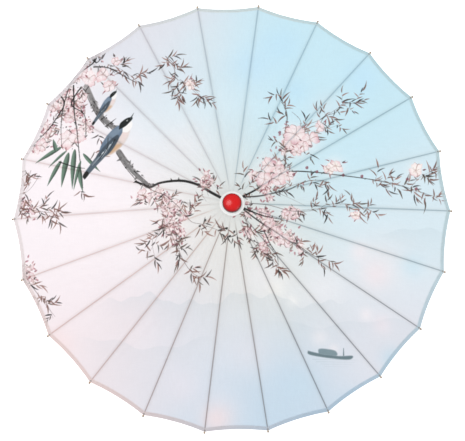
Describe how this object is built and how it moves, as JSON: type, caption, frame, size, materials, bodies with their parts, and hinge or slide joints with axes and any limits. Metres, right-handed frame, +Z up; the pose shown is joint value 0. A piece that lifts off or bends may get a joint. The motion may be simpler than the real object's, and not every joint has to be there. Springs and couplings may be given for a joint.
{
  "type": "oil paper umbrella",
  "caption": "Folding oil paper style parasol: bamboo ribs and stretchers laced to a hub and a sliding runner, printed canopy, red cap, straight wooden handle.",
  "frame": {"origin": "centre of the handle's flat bottom end", "axes": "+Z up the shaft to the cap, +X along rib 1, +Y towards the middle of a gore"},
  "size_m": [0.841, 0.833, 0.5355],
  "materials": {
    "handle_wood": "lacquered",
    "shaft_wood": "clear varnish",
    "hub_wood": "plain turned wood",
    "rib_bamboo": "split bamboo, outer skin up",
    "stretcher_bamboo": "split bamboo",
    "steel": "plain steel wire and strip",
    "thread": "twisted cotton",
    "cap_lacquer": "bright red gloss",
    "collar_white": "matt white",
    "printed_cloth": "thin printed cloth with a soft sheen"
  },
  "bodies": {
    "shaft_group": {"handle": "handle_wood", "shaft": "shaft_wood", "top_hub": "hub_wood", "hub_nail": "steel", "hub_thread": "thread", "top_cap": "cap_lacquer", "collar": "collar_white", "canopy": "printed_cloth", "catch_pin": "steel", "stop_pin": "steel"},
    "runner": {"runner": "hub_wood", "runner_thread": "thread"},
    "catch": {"catch_spring": "steel"},
    "rib_01": {"rib_01": "rib_bamboo"},
    "stretcher_01": {"stretcher_01": "stretcher_bamboo"},
    "rib_02": {"rib_02": "rib_bamboo"},
    "stretcher_02": {"stretcher_02": "stretcher_bamboo"},
    "rib_03": {"rib_03": "rib_bamboo"},
    "stretcher_03": {"stretcher_03": "stretcher_bamboo"},
    "rib_04": {"rib_04": "rib_bamboo"},
    "stretcher_04": {"stretcher_04": "stretcher_bamboo"},
    "rib_05": {"rib_05": "rib_bamboo"},
    "stretcher_05": {"stretcher_05": "stretcher_bamboo"},
    "rib_06": {"rib_06": "rib_bamboo"},
    "stretcher_06": {"stretcher_06": "stretcher_bamboo"},
    "rib_07": {"rib_07": "rib_bamboo"},
    "stretcher_07": {"stretcher_07": "stretcher_bamboo"},
    "rib_08": {"rib_08": "rib_bamboo"},
    "stretcher_08": {"stretcher_08": "stretcher_bamboo"},
    "rib_09": {"rib_09": "rib_bamboo"},
    "stretcher_09": {"stretcher_09": "stretcher_bamboo"},
    "rib_10": {"rib_10": "rib_bamboo"},
    "stretcher_10": {"stretcher_10": "stretcher_bamboo"},
    "rib_11": {"rib_11": "rib_bamboo"},
    "stretcher_11": {"stretcher_11": "stretcher_bamboo"},
    "rib_12": {"rib_12": "rib_bamboo"},
    "stretcher_12": {"stretcher_12": "stretcher_bamboo"},
    "rib_13": {"rib_13": "rib_bamboo"},
    "stretcher_13": {"stretcher_13": "stretcher_bamboo"},
    "rib_14": {"rib_14": "rib_bamboo"},
    "stretcher_14": {"stretcher_14": "stretcher_bamboo"},
    "rib_15": {"rib_15": "rib_bamboo"},
    "stretcher_15": {"stretcher_15": "stretcher_bamboo"},
    "rib_16": {"rib_16": "rib_bamboo"},
    "stretcher_16": {"stretcher_16": "stretcher_bamboo"},
    "rib_17": {"rib_17": "rib_bamboo"},
    "stretcher_17": {"stretcher_17": "stretcher_bamboo"},
    "rib_18": {"rib_18": "rib_bamboo"},
    "stretcher_18": {"stretcher_18": "stretcher_bamboo"},
    "rib_19": {"rib_19": "rib_bamboo"},
    "stretcher_19": {"stretcher_19": "stretcher_bamboo"},
    "rib_20": {"rib_20": "rib_bamboo"},
    "stretcher_20": {"stretcher_20": "stretcher_bamboo"},
    "rib_21": {"rib_21": "rib_bamboo"},
    "stretcher_21": {"stretcher_21": "stretcher_bamboo"},
    "rib_22": {"rib_22": "rib_bamboo"},
    "stretcher_22": {"stretcher_22": "stretcher_bamboo"}
  },
  "joints": [
    {"name": "runner_slide", "type": "slide", "parent": "shaft_group", "child": "runner", "axis": [0, 0, -1], "range_m": [0, 0.26661], "deforming": ["canopy", "runner_thread", "catch_spring"]},
    {"name": "catch_press", "type": "hinge", "parent": "shaft_group", "child": "catch", "pos_m": [0, 0, 0.35], "axis": [-1, 0, 0], "range_deg": [0, 5], "stiffness_Nm_per_rad": 0.6, "springref_deg": -5.16},
    {"name": "rib_01_hinge", "type": "hinge", "parent": "shaft_group", "child": "rib_01", "pos_m": [0.0135, 0, 0.52], "axis": [0, 1, 0], "range_deg": [0, 73.02]},
    {"name": "stretcher_01_hinge", "type": "hinge", "parent": "rib_01", "child": "stretcher_01", "pos_m": [0.18737, 0, 0.47341], "axis": [0, 1, 0], "range_deg": [-146.04, 0]},
    {"name": "rib_02_hinge", "type": "hinge", "parent": "shaft_group", "child": "rib_02", "pos_m": [0.01295, 0.0038, 0.52], "axis": [-0.2817, 0.9595, 0], "range_deg": [0, 73.02]},
    {"name": "stretcher_02_hinge", "type": "hinge", "parent": "rib_02", "child": "stretcher_02", "pos_m": [0.17978, 0.05279, 0.47341], "axis": [-0.2817, 0.9595, 0], "range_deg": [-146.04, 0]},
    {"name": "rib_03_hinge", "type": "hinge", "parent": "shaft_group", "child": "rib_03", "pos_m": [0.01136, 0.0073, 0.52], "axis": [-0.5406, 0.8413, 0], "range_deg": [0, 73.02]},
    {"name": "stretcher_03_hinge", "type": "hinge", "parent": "rib_03", "child": "stretcher_03", "pos_m": [0.15762, 0.1013, 0.47341], "axis": [-0.5406, 0.8413, 0], "range_deg": [-146.04, 0]},
    {"name": "rib_04_hinge", "type": "hinge", "parent": "shaft_group", "child": "rib_04", "pos_m": [0.00884, 0.0102, 0.52], "axis": [-0.7557, 0.6549, 0], "range_deg": [0, 73.02]},
    {"name": "stretcher_04_hinge", "type": "hinge", "parent": "rib_04", "child": "stretcher_04", "pos_m": [0.1227, 0.1416, 0.47341], "axis": [-0.7557, 0.6549, 0], "range_deg": [-146.04, 0]},
    {"name": "rib_05_hinge", "type": "hinge", "parent": "shaft_group", "child": "rib_05", "pos_m": [0.00561, 0.01228, 0.52], "axis": [-0.9096, 0.4154, 0], "range_deg": [0, 73.02]},
    {"name": "stretcher_05_hinge", "type": "hinge", "parent": "rib_05", "child": "stretcher_05", "pos_m": [0.07783, 0.17043, 0.47341], "axis": [-0.9096, 0.4154, 0], "range_deg": [-146.04, 0]},
    {"name": "rib_06_hinge", "type": "hinge", "parent": "shaft_group", "child": "rib_06", "pos_m": [0.00192, 0.01336, 0.52], "axis": [-0.9898, 0.1423, 0], "range_deg": [0, 73.02]},
    {"name": "stretcher_06_hinge", "type": "hinge", "parent": "rib_06", "child": "stretcher_06", "pos_m": [0.02667, 0.18546, 0.47341], "axis": [-0.9898, 0.1423, 0], "range_deg": [-146.04, 0]},
    {"name": "rib_07_hinge", "type": "hinge", "parent": "shaft_group", "child": "rib_07", "pos_m": [-0.00192, 0.01336, 0.52], "axis": [-0.9898, -0.1423, 0], "range_deg": [0, 73.02]},
    {"name": "stretcher_07_hinge", "type": "hinge", "parent": "rib_07", "child": "stretcher_07", "pos_m": [-0.02667, 0.18546, 0.47341], "axis": [-0.9898, -0.1423, 0], "range_deg": [-146.04, 0]},
    {"name": "rib_08_hinge", "type": "hinge", "parent": "shaft_group", "child": "rib_08", "pos_m": [-0.00561, 0.01228, 0.52], "axis": [-0.9096, -0.4154, 0], "range_deg": [0, 73.02]},
    {"name": "stretcher_08_hinge", "type": "hinge", "parent": "rib_08", "child": "stretcher_08", "pos_m": [-0.07783, 0.17043, 0.47341], "axis": [-0.9096, -0.4154, 0], "range_deg": [-146.04, 0]},
    {"name": "rib_09_hinge", "type": "hinge", "parent": "shaft_group", "child": "rib_09", "pos_m": [-0.00884, 0.0102, 0.52], "axis": [-0.7557, -0.6549, 0], "range_deg": [0, 73.02]},
    {"name": "stretcher_09_hinge", "type": "hinge", "parent": "rib_09", "child": "stretcher_09", "pos_m": [-0.1227, 0.1416, 0.47341], "axis": [-0.7557, -0.6549, 0], "range_deg": [-146.04, 0]},
    {"name": "rib_10_hinge", "type": "hinge", "parent": "shaft_group", "child": "rib_10", "pos_m": [-0.01136, 0.0073, 0.52], "axis": [-0.5406, -0.8413, 0], "range_deg": [0, 73.02]},
    {"name": "stretcher_10_hinge", "type": "hinge", "parent": "rib_10", "child": "stretcher_10", "pos_m": [-0.15762, 0.1013, 0.47341], "axis": [-0.5406, -0.8413, 0], "range_deg": [-146.04, 0]},
    {"name": "rib_11_hinge", "type": "hinge", "parent": "shaft_group", "child": "rib_11", "pos_m": [-0.01295, 0.0038, 0.52], "axis": [-0.2817, -0.9595, 0], "range_deg": [0, 73.02]},
    {"name": "stretcher_11_hinge", "type": "hinge", "parent": "rib_11", "child": "stretcher_11", "pos_m": [-0.17978, 0.05279, 0.47341], "axis": [-0.2817, -0.9595, 0], "range_deg": [-146.04, 0]},
    {"name": "rib_12_hinge", "type": "hinge", "parent": "shaft_group", "child": "rib_12", "pos_m": [-0.0135, 0, 0.52], "axis": [0, -1, 0], "range_deg": [0, 73.02]},
    {"name": "stretcher_12_hinge", "type": "hinge", "parent": "rib_12", "child": "stretcher_12", "pos_m": [-0.18737, 0, 0.47341], "axis": [0, -1, 0], "range_deg": [-146.04, 0]},
    {"name": "rib_13_hinge", "type": "hinge", "parent": "shaft_group", "child": "rib_13", "pos_m": [-0.01295, -0.0038, 0.52], "axis": [0.2817, -0.9595, 0], "range_deg": [0, 73.02]},
    {"name": "stretcher_13_hinge", "type": "hinge", "parent": "rib_13", "child": "stretcher_13", "pos_m": [-0.17978, -0.05279, 0.47341], "axis": [0.2817, -0.9595, 0], "range_deg": [-146.04, 0]},
    {"name": "rib_14_hinge", "type": "hinge", "parent": "shaft_group", "child": "rib_14", "pos_m": [-0.01136, -0.0073, 0.52], "axis": [0.5406, -0.8413, 0], "range_deg": [0, 73.02]},
    {"name": "stretcher_14_hinge", "type": "hinge", "parent": "rib_14", "child": "stretcher_14", "pos_m": [-0.15762, -0.1013, 0.47341], "axis": [0.5406, -0.8413, 0], "range_deg": [-146.04, 0]},
    {"name": "rib_15_hinge", "type": "hinge", "parent": "shaft_group", "child": "rib_15", "pos_m": [-0.00884, -0.0102, 0.52], "axis": [0.7557, -0.6549, 0], "range_deg": [0, 73.02]},
    {"name": "stretcher_15_hinge", "type": "hinge", "parent": "rib_15", "child": "stretcher_15", "pos_m": [-0.1227, -0.1416, 0.47341], "axis": [0.7557, -0.6549, 0], "range_deg": [-146.04, 0]},
    {"name": "rib_16_hinge", "type": "hinge", "parent": "shaft_group", "child": "rib_16", "pos_m": [-0.00561, -0.01228, 0.52], "axis": [0.9096, -0.4154, 0], "range_deg": [0, 73.02]},
    {"name": "stretcher_16_hinge", "type": "hinge", "parent": "rib_16", "child": "stretcher_16", "pos_m": [-0.07783, -0.17043, 0.47341], "axis": [0.9096, -0.4154, 0], "range_deg": [-146.04, 0]},
    {"name": "rib_17_hinge", "type": "hinge", "parent": "shaft_group", "child": "rib_17", "pos_m": [-0.00192, -0.01336, 0.52], "axis": [0.9898, -0.1423, 0], "range_deg": [0, 73.02]},
    {"name": "stretcher_17_hinge", "type": "hinge", "parent": "rib_17", "child": "stretcher_17", "pos_m": [-0.02667, -0.18546, 0.47341], "axis": [0.9898, -0.1423, 0], "range_deg": [-146.04, 0]},
    {"name": "rib_18_hinge", "type": "hinge", "parent": "shaft_group", "child": "rib_18", "pos_m": [0.00192, -0.01336, 0.52], "axis": [0.9898, 0.1423, 0], "range_deg": [0, 73.02]},
    {"name": "stretcher_18_hinge", "type": "hinge", "parent": "rib_18", "child": "stretcher_18", "pos_m": [0.02667, -0.18546, 0.47341], "axis": [0.9898, 0.1423, 0], "range_deg": [-146.04, 0]},
    {"name": "rib_19_hinge", "type": "hinge", "parent": "shaft_group", "child": "rib_19", "pos_m": [0.00561, -0.01228, 0.52], "axis": [0.9096, 0.4154, 0], "range_deg": [0, 73.02]},
    {"name": "stretcher_19_hinge", "type": "hinge", "parent": "rib_19", "child": "stretcher_19", "pos_m": [0.07783, -0.17043, 0.47341], "axis": [0.9096, 0.4154, 0], "range_deg": [-146.04, 0]},
    {"name": "rib_20_hinge", "type": "hinge", "parent": "shaft_group", "child": "rib_20", "pos_m": [0.00884, -0.0102, 0.52], "axis": [0.7557, 0.6549, 0], "range_deg": [0, 73.02]},
    {"name": "stretcher_20_hinge", "type": "hinge", "parent": "rib_20", "child": "stretcher_20", "pos_m": [0.1227, -0.1416, 0.47341], "axis": [0.7557, 0.6549, 0], "range_deg": [-146.04, 0]},
    {"name": "rib_21_hinge", "type": "hinge", "parent": "shaft_group", "child": "rib_21", "pos_m": [0.01136, -0.0073, 0.52], "axis": [0.5406, 0.8413, 0], "range_deg": [0, 73.02]},
    {"name": "stretcher_21_hinge", "type": "hinge", "parent": "rib_21", "child": "stretcher_21", "pos_m": [0.15762, -0.1013, 0.47341], "axis": [0.5406, 0.8413, 0], "range_deg": [-146.04, 0]},
    {"name": "rib_22_hinge", "type": "hinge", "parent": "shaft_group", "child": "rib_22", "pos_m": [0.01295, -0.0038, 0.52], "axis": [0.2817, 0.9595, 0], "range_deg": [0, 73.02]},
    {"name": "stretcher_22_hinge", "type": "hinge", "parent": "rib_22", "child": "stretcher_22", "pos_m": [0.17978, -0.05279, 0.47341], "axis": [0.2817, 0.9595, 0], "range_deg": [-146.04, 0]}
  ],
  "couplings": [
    {"joint": "rib_01_hinge", "follows": "runner_slide", "rad_per_m": 4.7789},
    {"joint": "stretcher_01_hinge", "follows": "runner_slide", "rad_per_m": -9.5579},
    {"joint": "rib_02_hinge", "follows": "runner_slide", "rad_per_m": 4.7789},
    {"joint": "stretcher_02_hinge", "follows": "runner_slide", "rad_per_m": -9.5579},
    {"joint": "rib_03_hinge", "follows": "runner_slide", "rad_per_m": 4.7789},
    {"joint": "stretcher_03_hinge", "follows": "runner_slide", "rad_per_m": -9.5579},
    {"joint": "rib_04_hinge", "follows": "runner_slide", "rad_per_m": 4.7789},
    {"joint": "stretcher_04_hinge", "follows": "runner_slide", "rad_per_m": -9.5579},
    {"joint": "rib_05_hinge", "follows": "runner_slide", "rad_per_m": 4.7789},
    {"joint": "stretcher_05_hinge", "follows": "runner_slide", "rad_per_m": -9.5579},
    {"joint": "rib_06_hinge", "follows": "runner_slide", "rad_per_m": 4.7789},
    {"joint": "stretcher_06_hinge", "follows": "runner_slide", "rad_per_m": -9.5579},
    {"joint": "rib_07_hinge", "follows": "runner_slide", "rad_per_m": 4.7789},
    {"joint": "stretcher_07_hinge", "follows": "runner_slide", "rad_per_m": -9.5579},
    {"joint": "rib_08_hinge", "follows": "runner_slide", "rad_per_m": 4.7789},
    {"joint": "stretcher_08_hinge", "follows": "runner_slide", "rad_per_m": -9.5579},
    {"joint": "rib_09_hinge", "follows": "runner_slide", "rad_per_m": 4.7789},
    {"joint": "stretcher_09_hinge", "follows": "runner_slide", "rad_per_m": -9.5579},
    {"joint": "rib_10_hinge", "follows": "runner_slide", "rad_per_m": 4.7789},
    {"joint": "stretcher_10_hinge", "follows": "runner_slide", "rad_per_m": -9.5579},
    {"joint": "rib_11_hinge", "follows": "runner_slide", "rad_per_m": 4.7789},
    {"joint": "stretcher_11_hinge", "follows": "runner_slide", "rad_per_m": -9.5579},
    {"joint": "rib_12_hinge", "follows": "runner_slide", "rad_per_m": 4.7789},
    {"joint": "stretcher_12_hinge", "follows": "runner_slide", "rad_per_m": -9.5579},
    {"joint": "rib_13_hinge", "follows": "runner_slide", "rad_per_m": 4.7789},
    {"joint": "stretcher_13_hinge", "follows": "runner_slide", "rad_per_m": -9.5579},
    {"joint": "rib_14_hinge", "follows": "runner_slide", "rad_per_m": 4.7789},
    {"joint": "stretcher_14_hinge", "follows": "runner_slide", "rad_per_m": -9.5579},
    {"joint": "rib_15_hinge", "follows": "runner_slide", "rad_per_m": 4.7789},
    {"joint": "stretcher_15_hinge", "follows": "runner_slide", "rad_per_m": -9.5579},
    {"joint": "rib_16_hinge", "follows": "runner_slide", "rad_per_m": 4.7789},
    {"joint": "stretcher_16_hinge", "follows": "runner_slide", "rad_per_m": -9.5579},
    {"joint": "rib_17_hinge", "follows": "runner_slide", "rad_per_m": 4.7789},
    {"joint": "stretcher_17_hinge", "follows": "runner_slide", "rad_per_m": -9.5579},
    {"joint": "rib_18_hinge", "follows": "runner_slide", "rad_per_m": 4.7789},
    {"joint": "stretcher_18_hinge", "follows": "runner_slide", "rad_per_m": -9.5579},
    {"joint": "rib_19_hinge", "follows": "runner_slide", "rad_per_m": 4.7789},
    {"joint": "stretcher_19_hinge", "follows": "runner_slide", "rad_per_m": -9.5579},
    {"joint": "rib_20_hinge", "follows": "runner_slide", "rad_per_m": 4.7789},
    {"joint": "stretcher_20_hinge", "follows": "runner_slide", "rad_per_m": -9.5579},
    {"joint": "rib_21_hinge", "follows": "runner_slide", "rad_per_m": 4.7789},
    {"joint": "stretcher_21_hinge", "follows": "runner_slide", "rad_per_m": -9.5579},
    {"joint": "rib_22_hinge", "follows": "runner_slide", "rad_per_m": 4.7789},
    {"joint": "stretcher_22_hinge", "follows": "runner_slide", "rad_per_m": -9.5579}
  ]
}
